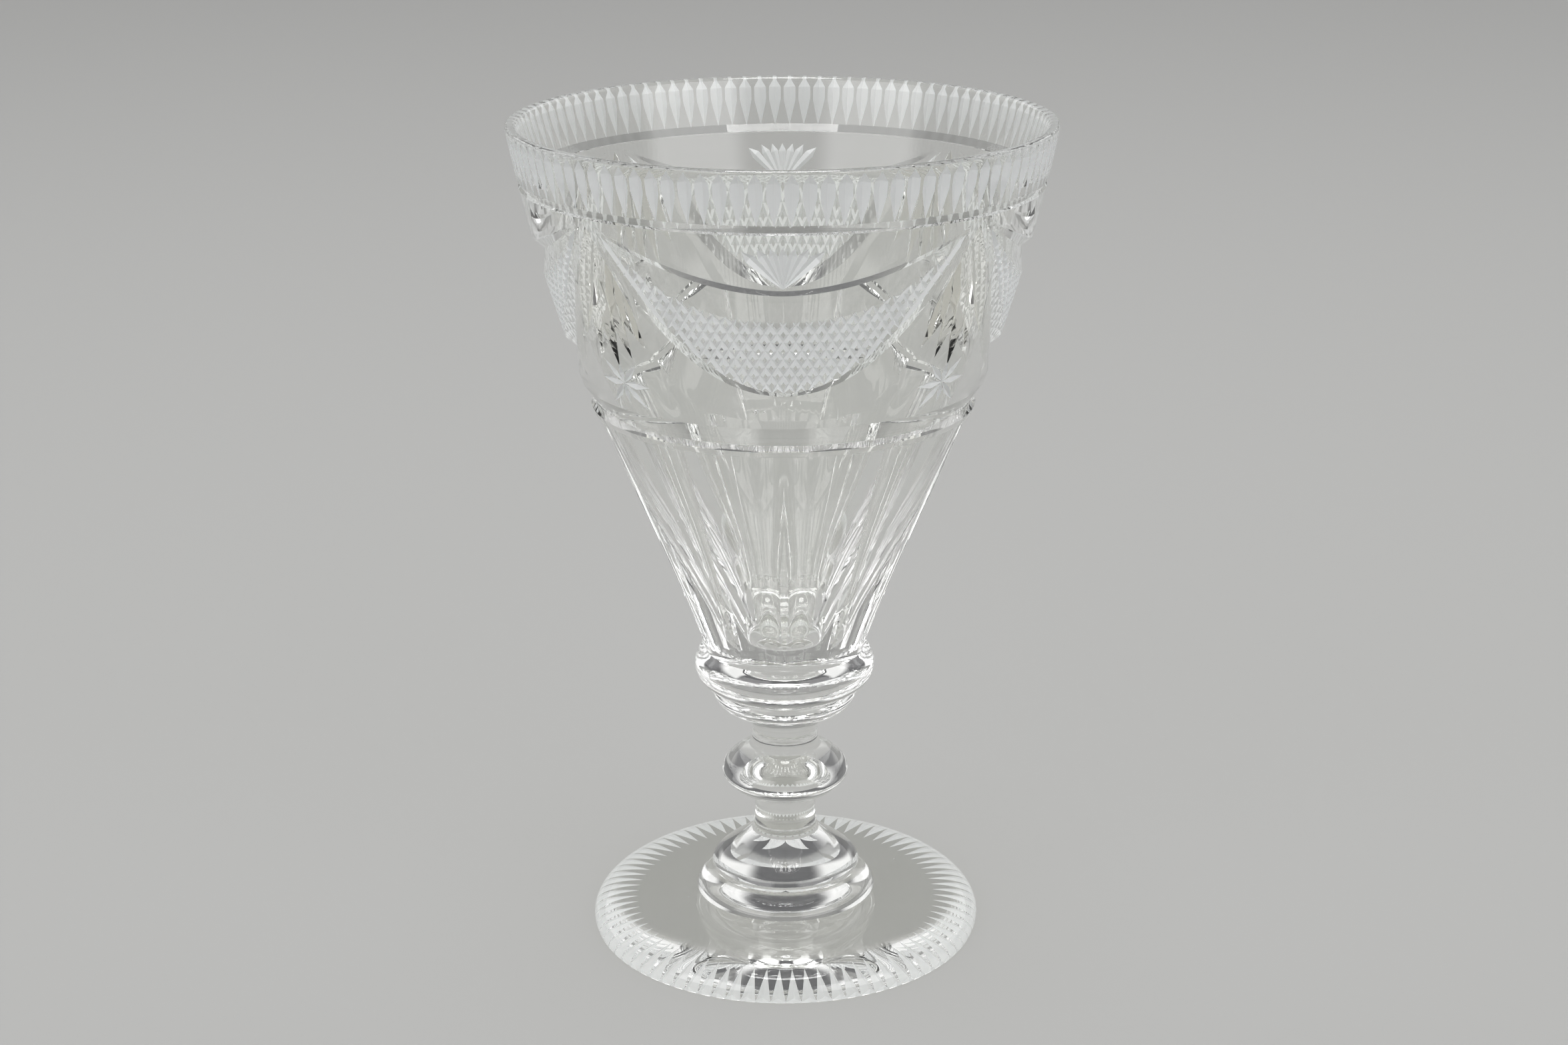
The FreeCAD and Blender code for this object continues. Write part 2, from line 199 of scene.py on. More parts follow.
class Glassware:
    """Finishes shared by every piece, and the last steps that each mesh goes through."""

    crease = math.radians(14)
    merge_distance = 0.002 * MM
    level_share = 0.999

    def __init__(self) -> None:
        """Makes each finish once."""
        finishes = {
            Surface.POLISHED: LeadGlass("lead_glass_polished"),
            Surface.FUSED: FusedSeam(),
            Surface.WHEEL_CUT: LeadGlass("lead_glass_wheel_cut", tint="#F8F7EE", drift="#F3F2E8",
                                         polish=0.01, wear=0.07, wear_size=2 * MM),
            Surface.SATIN: LeadGlass("lead_glass_satin_cut", tint="#F7F9FA", drift="#F1F3F4", clear=0.25,
                                     polish=0.3, wear=0.36, wear_size=1 * MM),
        }
        self.materials = [finishes[surface].material() for surface in Surface]

    def add_object(self, name: str, mesh: bmesh.types.BMesh) -> bpy.types.Object:
        """Turns a mesh into an object with every finish in its slots.

        Args:
            name: Name of the object.
            mesh: Mesh that is used up.

        Returns:
            The object, with closed seams and outward faces.
        """
        bmesh.ops.remove_doubles(mesh, verts=mesh.verts, dist=self.merge_distance)
        bmesh.ops.recalc_face_normals(mesh, faces=mesh.faces)
        data = bpy.data.meshes.new(name)
        mesh.to_mesh(data)
        mesh.free()
        for material in self.materials:
            data.materials.append(material)
        data.shade_smooth()
        piece = bpy.data.objects.new(name, data)
        bpy.context.scene.collection.objects.link(piece)
        return piece

    def cut(self, piece: bpy.types.Object, cutters: bmesh.types.BMesh, surface: Surface) -> None:
        """Takes a set of cutters out of a piece.

        Args:
            piece: Object that is cut.
            cutters: Closed shells that don't overlap inside the glass, used up.
            surface: Finish of the cut faces.
        """
        for face in cutters.faces:
            face.material_index = surface
        tool = self.add_object("cutter", cutters)
        modifier = piece.modifiers.new("cut", "BOOLEAN")
        modifier.operation = "DIFFERENCE"
        modifier.solver = "MANIFOLD"
        modifier.object = tool
        graph = bpy.context.evaluated_depsgraph_get()
        result = bpy.data.meshes.new_from_object(piece.evaluated_get(graph))
        piece.modifiers.clear()
        used = piece.data
        piece.data = result
        bpy.data.objects.remove(tool)
        bpy.data.meshes.remove(used)

    def dress(self, piece: bpy.types.Object, node: str, seams: tuple[float, ...]) -> None:
        """Finishes a piece's shading, marks its fused discs and puts it in its node's place.

        Args:
            piece: Finished object.
            node: Node that it stands for.
            seams: Heights of its fused discs.
        """
        data = piece.data
        data.shade_smooth()
        data.set_sharp_from_angle(angle=self.crease)
        for face in data.polygons:
            flat = abs(face.normal.z) > self.level_share
            if flat and any(abs(face.center.z - level) < TOUCH for level in seams):
                face.material_index = Surface.FUSED
        data.name = node + "_glass"
        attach(piece, "root")
        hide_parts(node)
        log.info("%s: %d faces", node, len(data.polygons))


def at(radius: float, level: float, angle: float = 0.0) -> Vector:
    """Point at a radius, a height and an angle in degrees round the axis."""
    turn = math.radians(angle)
    return Vector((radius * math.sin(turn), -radius * math.cos(turn), level))


def smooth_run(knots: list[Vector], spacing: float, least: int = 1) -> list[Vector]:
    """Points along the smooth curve through a few given ones.

    The curve is a cubic whose bend is continuous, and its end slopes are those of the
    cubic through the four points nearest each end.

    Args:
        knots: Points that the curve passes through.
        spacing: Longest step between the points returned.
        least: Fewest steps between two of the given points.

    Returns:
        Points along the curve, the given ones among them.
    """
    given = np.array([knot[:] for knot in knots])
    spans = np.linalg.norm(np.diff(given, axis=0), axis=1)
    along = np.concatenate([[0.0], np.cumsum(spans)])
    count = len(given)
    reach = min(4, count)
    weights = np.eye(count)
    rises = np.zeros_like(given)
    for i in range(1, count - 1):
        before, after = 1 / spans[i - 1], 1 / spans[i]
        weights[i, i - 1:i + 2] = before, 2 * (before + after), after
        rises[i] = 3 * ((given[i] - given[i - 1]) * before ** 2 + (given[i + 1] - given[i]) * after ** 2)
    for end, chosen in ((0, slice(None, reach)), (count - 1, slice(-reach, None))):
        for axis in range(3):
            fitted = np.polyfit(along[chosen] - along[end], given[chosen, axis], reach - 1)
            rises[end, axis] = fitted[-2]
    slopes = np.linalg.solve(weights, rises)
    points = [knots[0].copy()]
    for i, span in enumerate(spans):
        steps = max(least, math.ceil(span / spacing))
        for k in range(1, steps + 1):
            s = k / steps
            place = (given[i] * (1 + 2 * s) * (1 - s) ** 2 + given[i + 1] * s * s * (3 - 2 * s)
                     + slopes[i] * span * s * (1 - s) ** 2 - slopes[i + 1] * span * s * s * (1 - s))
            points.append(Vector(place))
    return points


def turn_solid(outline: list[Vector], steps: int, lips: tuple[Vector, ...] = (),
               rounding: float = 0.0) -> bmesh.types.BMesh:
    """Solid turned from an outline in the plane of the axis.

    Args:
        outline: Corners from the axis out and back to the axis.
        steps: Facets round the axis.
        lips: Corners of the outline that are rounded.
        rounding: Radius of those corners.

    Returns:
        The closed mesh.
    """
    mesh = bmesh.new()
    corners = [mesh.verts.new(place) for place in outline]
    for pair in zip(corners, corners[1:]):
        mesh.edges.new(pair)
    sharp = [vert for vert in corners if any((vert.co - lip).length < TOUCH for lip in lips)]
    if sharp:
        bmesh.ops.bevel(mesh, geom=sharp, offset=rounding, offset_type="OFFSET", affect="VERTICES",
                        segments=6, profile=0.5, material=-1)
    bmesh.ops.spin(mesh, geom=mesh.verts[:] + mesh.edges[:], cent=(0, 0, 0), axis=(0, 0, 1),
                   angle=math.tau, steps=steps, use_merge=True)
    return mesh


def sweep(mesh: bmesh.types.BMesh, rings: list[list[Vector]]) -> None:
    """Adds a closed bar that runs through rings of corners.

    Args:
        mesh: Mesh that gets the bar.
        rings: Corners of each section. A ring whose corners meet is a pointed end.
    """
    corners = [mesh.verts.new(place) for place in rings[0]]
    cap = mesh.faces.new(corners)
    for ring in rings[1:]:
        cap = bmesh.ops.extrude_discrete_faces(mesh, faces=[cap])["faces"][0]
        for corner, place in zip(cap.verts, ring):
            corner.co = place
    mesh.faces.new(corners[::-1])


def seed(mesh: bmesh.types.BMesh, centre: Vector, size: float) -> None:
    """Adds a round air bubble, left in the glass by the melt."""
    bmesh.ops.create_icosphere(mesh, subdivisions=3, radius=size / 2, matrix=Matrix.Translation(centre))


def hull(mesh: bmesh.types.BMesh, corners: list[Vector]) -> None:
    """Adds the flat-faced solid that encloses a few corners."""
    bmesh.ops.convex_hull(mesh, input=[mesh.verts.new(place) for place in corners])


def mitre(mesh: bmesh.types.BMesh, start: Vector, finish: Vector, outward: Vector, width: float,
          depth: float, full_shares: tuple[float, ...]) -> None:
    """Adds the cutter of a wheel cut with two flat sides, pointed at both ends.

    Args:
        mesh: Mesh that gets the cutter.
        start: First tip, on the glass.
        finish: Last tip, on the glass.
        outward: Direction out of the glass.
        width: Width at the surface where the cut is full.
        depth: Depth where the cut is full.
        full_shares: Where along the cut it is full.
    """
    overrun = 1.2 * MM
    run = finish - start
    side = run.cross(outward).normalized() * (width / 2 * (depth + overrun) / depth)
    corners = [start, finish]
    for share in full_shares:
        middle = start + run * share
        above = middle + outward * overrun
        corners += [middle - outward * depth, above + side, above - side]
    hull(mesh, corners)


@dataclass
class Gather:
    """Uncut gather of glass between two flat fused joints."""

    node: str
    low_radius: float
    high_radius: float
    shares: Shares
    spacing: float = 0.8 * MM
    steps: int = 160

    def build(self, ware: Glassware) -> None:
        """Makes the gather over its node.

        Args:
            ware: Shared finishes.
        """
        low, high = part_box(self.node)
        base, height = low.z, high.z - low.z
        widest = self.widest()
        knots = [at(self.low_radius, base)]
        knots += [at(widest * wide, base + height * tall) for tall, wide in self.shares]
        knots.append(at(self.high_radius, high.z))
        outline = [at(0, base)] + smooth_run(knots, self.spacing) + [at(0, high.z)]
        piece = ware.add_object(self.node + "_glass", turn_solid(outline, self.steps))
        ware.dress(piece, self.node, (low.z, high.z))

    def widest(self) -> float:
        """Widest radius, from the node's box."""
        low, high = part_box(self.node)
        return (high.x - low.x) / 2


@dataclass
class Neck(Gather):
    """Gather drawn in to a waist, so its box gives a joint and not the shape's own radius."""

    waist: float = 8 * MM

    def widest(self) -> float:
        """Radius of the waist, which the shares follow."""
        return self.waist


@dataclass
class Stem:
    """Six gathers between the foot and the bowl, from the foot upward."""

    ring_top: float = 17.2 * MM
    base_top: float = 8.7 * MM
    knop_low: float = 8.3 * MM
    knop_top: float = 9.2 * MM
    neck_top: float = 9.6 * MM
    collar_top: float = 17.6 * MM
    bowl_joint: float = 20.2 * MM
    lower_waist: float = 7.8 * MM
    upper_waist: float = 8.4 * MM

    def build(self, ware: Glassware) -> None:
        """Makes each gather.

        Args:
            ware: Shared finishes.
        """
        belly = ((0.5, 1.0),)
        for gather in (
            Gather("base_knop", self.ring_top, self.base_top, ((0.2, 1.0), (0.52, 0.845), (0.86, 0.56))),
            Neck("lower_stem", self.base_top, self.knop_low, belly, waist=self.lower_waist),
            Gather("central_knop", self.knop_low, self.knop_top, belly),
            Neck("upper_stem", self.knop_top, self.neck_top, belly, waist=self.upper_waist),
            Gather("lower_collar", self.neck_top, self.collar_top,
                   ((0.12, 0.7), (0.42, 0.91), (0.8, 1.0))),
            Gather("upper_collar", self.collar_top, self.bowl_joint, ((0.2, 0.93), (0.6, 1.0))),
        ):
            gather.build(ware)


@dataclass
class Foot:
    """Domed disc with mitre cuts on its underside, and the low ring that spreads into it."""

    radius: float = 50.0 * MM
    joint: float = 23.2 * MM
    ring_radius: float = 22.4 * MM
    ring_top: float = 17.2 * MM
    edge_shares: Shares = ((0.35, 1.0), (0.58, 0.968), (0.8, 0.896), (0.92, 0.76), (0.965, 0.6))
    cut_count: int = 80
    cut_margin: float = 0.2 * MM
    cut_length: float = 11.4 * MM
    cut_width: float = 4.5 * MM
    cut_depth: float = 1.15 * MM
    cut_full_share: float = 0.92
    seeds: tuple[tuple[float, float, float, float], ...] = (
        (-40.4, 41.0 * MM, 5.5 * MM, 1.0 * MM), (-33.9, 45.0 * MM, 5.0 * MM, 0.5 * MM),
        (-14.1, 22.6 * MM, 5.5 * MM, 0.6 * MM), (-75.0, 26.1 * MM, 5.5 * MM, 0.4 * MM),
        (118.0, 33.0 * MM, 5.0 * MM, 0.5 * MM), (203.0, 29.0 * MM, 5.5 * MM, 0.7 * MM),
    )
    spacing: float = 1.0 * MM
    steps: int = 320

    def build(self, ware: Glassware) -> None:
        """Makes the foot and its ring.

        Args:
            ware: Shared finishes.
        """
        low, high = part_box("foot")
        height = high.z - low.z
        knots = [at(self.radius, low.z)]
        knots += [at(self.radius * wide, low.z + height * tall) for tall, wide in self.edge_shares]
        knots.append(at(self.joint, high.z))
        outline = [at(0, low.z)] + smooth_run(knots, self.spacing) + [at(0, high.z)]
        piece = ware.add_object("foot_glass", turn_solid(outline, self.steps))
        for first in (0, 1):
            ware.cut(piece, self.edge_cuts(first), Surface.SATIN)
        bubbles = bmesh.new()
        for angle, radius, level, size in self.seeds:
            seed(bubbles, at(radius, low.z + level, angle), size)
        ware.cut(piece, bubbles, Surface.POLISHED)
        ware.dress(piece, "foot", (high.z,))
        self.ring(ware)

    def ring(self, ware: Glassware) -> None:
        """Makes the low ring, whose belly is narrower than its lower joint.

        Args:
            ware: Shared finishes.
        """
        Neck("foot_ring", self.joint, self.ring_top, ((0.4, 1.0),), waist=self.ring_radius).build(ware)

    def edge_cuts(self, first: int) -> bmesh.types.BMesh:
        """Cutters of every second radial cut. Neighbours meet in an arris and run out inside the edge.

        Args:
            first: 0 or 1, the first cut of the set.

        Returns:
            Cutters that stand clear of each other.
        """
        mesh = bmesh.new()
        last = self.radius - self.cut_margin
        for i in range(first, self.cut_count, 2):
            angle = FULL_TURN * (i + 0.5) / self.cut_count
            mitre(mesh, at(last - self.cut_length, 0, angle), at(last, 0, angle), Vector((0, 0, -1)),
                  self.cut_width, self.cut_depth, (self.cut_full_share,))
        return mesh


@dataclass
class Bowl:
    """Conical bowl, smooth inside, cut outside from the rim flutes down to the basal flutes."""

    joint: float = 20.2 * MM
    rim_radius: float = 66.2 * MM
    rim_wall: float = 2.6 * MM
    lip_rounding: float = 0.9 * MM
    floor_thickness: float = 5.1 * MM
    outer_shares: Shares = ((0.108, 0.387), (0.256, 0.514), (0.405, 0.65), (0.554, 0.762),
                            (0.71, 0.861), (0.851, 0.937))
    inner_shares: Shares = ((0.0015, 0.071), (0.0085, 0.116), (0.026, 0.148), (0.073, 0.204),
                            (0.127, 0.27), (0.186, 0.343), (0.332, 0.519), (0.478, 0.66),
                            (0.672, 0.799), (0.847, 0.904))
    inner_steps: int = 4
    steps: int = 480
    spacing: float = 3.0 * MM
    sample_step: float = 0.2 * MM
    axis_gap: float = 0.1 * MM

    flute_count: int = 104
    flute_drop: float = 0.7 * MM
    flute_length: float = 12.2 * MM
    flute_width: float = 3.1 * MM
    flute_depth: float = 1.0 * MM
    flute_full_shares: tuple[float, ...] = (0.2, 0.45)
    ring_drop: float = 12.5 * MM
    ring_width: float = 2.2 * MM
    ring_depth: float = 0.8 * MM
    waist_drop: float = 67.6 * MM
    waist_upper: float = 5.0 * MM
    waist_lower: float = 1.3 * MM
    waist_depth: float = 1.5 * MM

    swag_count: int = 4
    peak_drop: float = 15.8 * MM
    peak_angle: float = 43.2
    # Upper and lower edge of the upper groove, then of the lower one, each as its sag and power.
    upper_lines: Shares = ((12.0 * MM, 1.7), (19.8 * MM, 2.4))
    lower_lines: Shares = ((37.4 * MM, 2.0), (44.7 * MM, 3.9))
    groove_depth: float = 2.1 * MM
    groove_root_share: float = 0.3
    groove_sections: int = 49
    groove_end_share: float = 0.97
    groove_over_share: float = 0.5
    groove_under_share: float = 0.4
    clearance: float = 0.4 * MM
    overrun: float = 3.0 * MM

    fan_length: float = 10.3 * MM
    fan_width: float = 2.0 * MM
    fan_depth: float = 0.7 * MM
    fan_full_share: float = 0.8
    fan_spread: float = 9.2 * MM
    fan_shares: Shares = ((-1.0, 0.9), (-0.62, 0.97), (-0.3, 0.99), (0.0, 1.0), (0.3, 0.99),
                          (0.62, 0.97), (1.0, 0.9))
    tassel_gap: float = 0.6 * MM
    tassel_length: float = 34.6 * MM
    tassel_width: float = 3.9 * MM
    tassel_depth: float = 1.3 * MM
    tassel_full_share: float = 0.68
    tassel_spread: float = 10.2 * MM
    tassel_shares: Shares = ((-1.0, 0.815), (-0.5, 0.91), (0.0, 1.0), (0.5, 0.91), (1.0, 0.815))
    star_drop: float = 55.0 * MM
    star_ray: float = 8.2 * MM
    star_shares: tuple[float, ...] = (0.63, 0.92, 0.95, 1.0, 0.63, 1.0, 0.95, 0.92)
    star_width: float = 1.7 * MM
    star_depth: float = 0.6 * MM
    star_full_share: float = 0.45

    diamond_width: float = 2.9 * MM
    diamond_height: float = 4.2 * MM
    hatch_width: float = 1.5 * MM
    hatch_depth: float = 0.6 * MM
    hatch_overshoot: float = 0.4 * MM
    hatch_end_share: float = 0.95
    hatch_step_share: float = 0.8

    basal_count: int = 12
    basal_top_drop: float = 70.3 * MM
    basal_low_gap: float = 2.6 * MM
    basal_depth_share: float = 0.072
    basal_facets: int = 240
    seeds: tuple[tuple[float, float, float], ...] = (
        (-7.4, 75.1 * MM, 1.1 * MM), (-5.0, 75.2 * MM, 0.6 * MM), (-25.4, 71.4 * MM, 0.5 * MM),
        (4.6, 108.3 * MM, 0.5 * MM), (97.0, 66.0 * MM, 0.8 * MM), (171.0, 52.0 * MM, 0.6 * MM),
        (238.0, 79.0 * MM, 0.9 * MM), (312.0, 40.0 * MM, 0.5 * MM),
    )
    seed_depth: float = 2.2 * MM

    def __post_init__(self) -> None:
        """Reads the levels from the frame and samples the uncut outside."""
        low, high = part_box("bowl")
        self.base, self.rim = low.z, high.z
        self.peak = self.rim - self.peak_drop
        height = self.rim - self.base
        knots = [at(self.joint, self.base)]
        knots += [at(self.rim_radius * wide, self.base + height * tall)
                  for tall, wide in self.outer_shares]
        knots.append(at(self.rim_radius, self.rim))
        run = smooth_run(knots, self.sample_step)
        self.levels = [point.z for point in run]
        self.radii = [-point.y for point in run]

    def radius(self, level: float) -> float:
        """Radius of the uncut outside at a height."""
        return float(np.interp(level, self.levels, self.radii))

    def outward(self, level: float, angle: float) -> Vector:
        """Direction straight out of the uncut outside.

        Args:
            level: Height.
            angle: Angle round the axis.

        Returns:
            Outward normal of length 1.
        """
        rise = self.radius(level + self.clearance) - self.radius(level - self.clearance)
        slope = rise / 2 / self.clearance
        return at(1, -slope, angle).normalized()

    def spot(self, level: float, angle: float) -> Vector:
        """Point of the uncut outside at a height and angle."""
        return at(self.radius(level), level, angle)

    def beside(self, level: float, angle: float, offset: float) -> Vector:
        """Point of the uncut outside at a sideways distance from an angle."""
        return self.spot(level, angle + math.degrees(offset / self.radius(level)))

    def blank(self) -> bmesh.types.BMesh:
        """Turns the bowl with its two ring grooves, smooth hollow and rounded lip.

        Returns:
            The closed mesh.
        """
        step_high = self.rim - self.ring_drop
        step_low = step_high - self.ring_width
        waist = self.rim - self.waist_drop
        grooves = (
            (waist - self.waist_lower, waist, waist + self.waist_upper, self.waist_depth),
            (step_low, step_low + self.clearance, step_high, self.ring_depth),
        )
        outline = [at(0, self.base)]
        start = self.base
        for low, root, high, depth in grooves:
            outline += self.outside(start, low)
            outline.append(at(self.radius(root) - depth, root))
            start = high
        outline += self.outside(start, self.rim)
        inside = self.rim_radius - self.rim_wall
        floor = self.base + self.floor_thickness
        deep = self.rim - floor
        right = [at(inside * wide, floor + deep * tall) for tall, wide in self.inner_shares]
        right.append(at(inside, self.rim))
        left = [Vector((0, -place.y, place.z)) for place in reversed(right)]
        hollow = smooth_run(left + [at(0, floor)] + right, self.spacing, self.inner_steps)
        outline += [place for place in reversed(hollow) if place.y < -self.axis_gap]
        outline.append(at(0, floor))
        lips = (at(self.rim_radius, self.rim), at(inside, self.rim))
        return turn_solid(outline, self.steps, lips, self.lip_rounding)

    def outside(self, low: float, high: float) -> list[Vector]:
        """Points up the uncut outside between two heights."""
        count = math.ceil((high - low) / self.spacing)
        return [self.spot(low + (high - low) * i / count, 0) for i in range(count + 1)]

    def rim_flutes(self) -> bmesh.types.BMesh:
        """Makes the lancet flutes round the rim.

        Returns:
            Cutters that stand clear of each other.
        """
        mesh = bmesh.new()
        top = self.rim - self.flute_drop
        bottom = top - self.flute_length
        for i in range(self.flute_count):
            angle = FULL_TURN * (i + 0.5) / self.flute_count
            mitre(mesh, self.spot(top, angle), self.spot(bottom, angle),
                  self.outward((top + bottom) / 2, angle), self.flute_width, self.flute_depth,
                  self.flute_full_shares)
        return mesh

    def line(self, share: float, sag: float, power: float) -> float:
        """Height of a swag line at a share of the way from its middle to a peak."""
        return self.peak - sag * (1 - abs(share) ** power)

    def swag_grooves(self, upper_line: tuple[float, float],
                     lower_line: tuple[float, float]) -> bmesh.types.BMesh:
        """Cutters of the grooves with a narrow upper and a wide lower side, one to a swag.

        Args:
            upper_line: Sag and power of the groove's upper edge.
            lower_line: Sag and power of its lower edge.

        Returns:
            The cutters.
        """
        mesh = bmesh.new()
        for swag in range(self.swag_count):
            middle = FULL_TURN * swag / self.swag_count
            rings = []
            for i in range(self.groove_sections):
                share = self.groove_end_share * (2 * i / (self.groove_sections - 1) - 1)
                angle = middle + self.peak_angle * share
                high, low = self.line(share, *upper_line), self.line(share, *lower_line)
                level = high - (high - low) * self.groove_root_share
                depth = self.groove_depth * (1 - share ** 2) - self.clearance * share ** 2
                outward = self.outward(level, angle)
                root = self.spot(level, angle) - outward * depth
                over = (self.spot(high, angle) - root) * (1 + self.groove_over_share)
                under = (self.spot(low, angle) - root) * (1 + self.groove_under_share)
                away = outward * self.overrun
                rings.append([root, root + over, root + over + away, root + under + away, root + under])
            sweep(mesh, rings)
        return mesh

    def fan_blades(self, turn: int) -> bmesh.types.BMesh:
        """Cutters of one blade of each fan.

        Args:
            turn: Number of the blade.

        Returns:
            Cutters that stand clear of each other.
        """
        mesh = bmesh.new()
        side, reach = self.fan_shares[turn]
        foot = self.peak - self.upper_lines[0][0]
        for i in range(self.swag_count):
            middle = FULL_TURN * i / self.swag_count
            mitre(mesh, self.spot(foot + self.clearance, middle),
                  self.beside(foot + self.fan_length * reach, middle, self.fan_spread * side),
                  self.outward(foot + self.fan_length / 2, middle), self.fan_width, self.fan_depth,
                  (self.fan_full_share,))
        return mesh

    def tassel_cuts(self, turn: int) -> bmesh.types.BMesh:
        """Cutters of one cut of each tassel.

        Args:
            turn: Number of the cut.

        Returns:
            Cutters that stand clear of each other.
        """
        mesh = bmesh.new()
        side, reach = self.tassel_shares[turn]
        top = self.peak - self.tassel_gap
        for i in range(self.swag_count):
            peak = FULL_TURN * (i + 0.5) / self.swag_count
            mitre(mesh, self.spot(top, peak),
                  self.beside(top - self.tassel_length * reach, peak, self.tassel_spread * side),
                  self.outward(top - self.tassel_length / 2, peak), self.tassel_width,
                  self.tassel_depth, (self.tassel_full_share,))
        return mesh

    def star_rays(self, turn: int) -> bmesh.types.BMesh:
        """Cutters of one ray of each star.

        Args:
            turn: Number of the ray.

        Returns:
            Cutters that stand clear of each other.
        """
        mesh = bmesh.new()
        level = self.rim - self.star_drop
        lean = math.radians(FULL_TURN * turn / len(self.star_shares))
        length = self.star_ray * self.star_shares[turn]
        for i in range(self.swag_count):
            peak = FULL_TURN * (i + 0.5) / self.swag_count
            mitre(mesh, self.spot(level, peak),
                  self.beside(level + length * math.cos(lean), peak, length * math.sin(lean)),
                  self.outward(level, peak), self.star_width, self.star_depth, (self.star_full_share,))
        return mesh

    def hatch(self, lean: int) -> bmesh.types.BMesh:
        """Cutters of one family of the swags' diamond hatch.

        Args:
            lean: 1 for the lines that rise to the right, -1 for those that rise to the left.

        Returns:
            Parallel V-shaped cutters that run from one edge of each band to the other.
        """
        mesh = bmesh.new()
        top_line, low_line = self.upper_lines[1], self.lower_lines[0]
        lowest = self.peak - low_line[0]
        mid_radius = self.radius((lowest + self.peak) / 2)
        slant = lean * self.diamond_width / self.diamond_height
        reach = math.radians(self.peak_angle) * mid_radius + (self.peak - lowest) * abs(slant)
        count = math.ceil(reach / self.diamond_width)
        step = self.sample_step
        samples = math.ceil((self.peak - lowest) / step)

        def angle_at(number: int, level: float) -> float:
            """Angle from the swag's middle of a line at a height."""
            offset = number * self.diamond_width + (level - lowest) * slant
            return math.degrees(offset / mid_radius)

        def runs(number: int) -> list[tuple[float, float]]:
            """Stretches of a line that lie inside the band, as lowest and highest levels."""
            found, start = [], None
            for k in range(samples + 1):
                level = lowest + step * k
                share = angle_at(number, level) / self.peak_angle
                inside = (abs(share) < self.hatch_end_share
                          and self.line(share, *low_line) < level < self.line(share, *top_line))
                if inside and start is None:
                    start = level
                if start is not None and not inside:
                    found.append((start, level))
                    start = None
            return [(low, high) for low, high in found if high - low > self.hatch_width]

        for swag in range(self.swag_count):
            middle = FULL_TURN * swag / self.swag_count
            for number in range(-count, count + 1):
                for low, high in runs(number):
                    self.hatch_bar(mesh, low - self.hatch_overshoot, high + self.hatch_overshoot,
                                   lambda level: middle + angle_at(number, level))
        return mesh

    def hatch_bar(self, mesh: bmesh.types.BMesh, low: float, high: float,
                  angle_at: Callable[[float], float]) -> None:
        """Adds one V-shaped cutter of the hatch.

        Args:
            mesh: Mesh that gets the cutter.
            low: Height of its lower tip.
            high: Height of its upper tip.
            angle_at: Gives the cutter's angle at a height.
        """
        pieces = max(2, math.ceil((high - low) / (self.spacing * self.hatch_step_share)))
        rings = []
        for k in range(pieces + 1):
            level = low + (high - low) * k / pieces
            angle = angle_at(level)
            centre = self.spot(level, angle)
            if k in (0, pieces):
                rings.append([centre] * 3)
                continue
            outward = self.outward(level, angle)
            ahead = self.spot(level + self.clearance, angle_at(level + self.clearance)) - centre
            above = self.hatch_depth / 2
            reach = self.hatch_width / 2 * (1 + above / self.hatch_depth)
            side = ahead.cross(outward).normalized() * reach
            rings.append([centre - outward * self.hatch_depth, centre + outward * above + side,
                          centre + outward * above - side])
        sweep(mesh, rings)

    def basal_flutes(self, first: int) -> bmesh.types.BMesh:
        """Cutters of every second broad basal flute.

        Args:
            first: 0 or 1, the first flute of the set.

        Returns:
            Leaning cones that each pass through two arrises and the flute's own floor.
        """
        mesh = bmesh.new()
        top = self.rim - self.basal_top_drop
        bottom = self.base + self.basal_low_gap
        half_turn = math.cos(math.radians(FULL_TURN / 2 / self.basal_count))
        ends = []
        for level in (bottom, top):
            wide = self.radius(level)
            floor = wide * (1 - self.basal_depth_share)
            spread = wide ** 2 + floor ** 2 - 2 * wide * floor * half_turn
            hollow = spread / 2 / (wide * half_turn - floor)
            ends.append((floor, hollow))
        (low_floor, low_hollow), (high_floor, high_hollow) = ends
        for i in range(first, self.basal_count, 2):
            angle = FULL_TURN * (i + 0.5) / self.basal_count
            low_centre = at(low_floor + low_hollow, bottom, angle)
            lean = (at(high_floor + high_hollow, top, angle) - low_centre) / (top - bottom)
            shear = Matrix.Identity(4)
            shear[0][2], shear[1][2] = lean.x, lean.y
            lift = Matrix.Translation((0, 0, (top - bottom) / 2))
            place = Matrix.Translation(low_centre) @ shear @ lift
            bmesh.ops.create_cone(mesh, cap_ends=True, segments=self.basal_facets, radius1=low_hollow,
                                  radius2=high_hollow, depth=top - bottom, matrix=place)
        return mesh

    def build(self, ware: Glassware) -> None:
        """Turns the bowl and cuts its whole pattern.

        Args:
            ware: Shared finishes.
        """
        piece = ware.add_object("bowl_glass", self.blank())
        ware.cut(piece, self.rim_flutes(), Surface.SATIN)
        for lines in (self.upper_lines, self.lower_lines):
            ware.cut(piece, self.swag_grooves(*lines), Surface.POLISHED)
        for turn in range(len(self.fan_shares)):
            ware.cut(piece, self.fan_blades(turn), Surface.SATIN)
        for turn in range(len(self.tassel_shares)):
            ware.cut(piece, self.tassel_cuts(turn), Surface.WHEEL_CUT)
        for turn in range(len(self.star_shares)):
            ware.cut(piece, self.star_rays(turn), Surface.SATIN)
        for lean in (1, -1):
            ware.cut(piece, self.hatch(lean), Surface.SATIN)
        for first in (0, 1):
            ware.cut(piece, self.basal_flutes(first), Surface.POLISHED)
        bubbles = bmesh.new()
        for angle, height, size in self.seeds:
            level = self.base + height
            seed(bubbles, self.spot(level, angle) - self.outward(level, angle) * self.seed_depth, size)
        ware.cut(piece, bubbles, Surface.POLISHED)
        ware.dress(piece, "bowl", (self.base,))


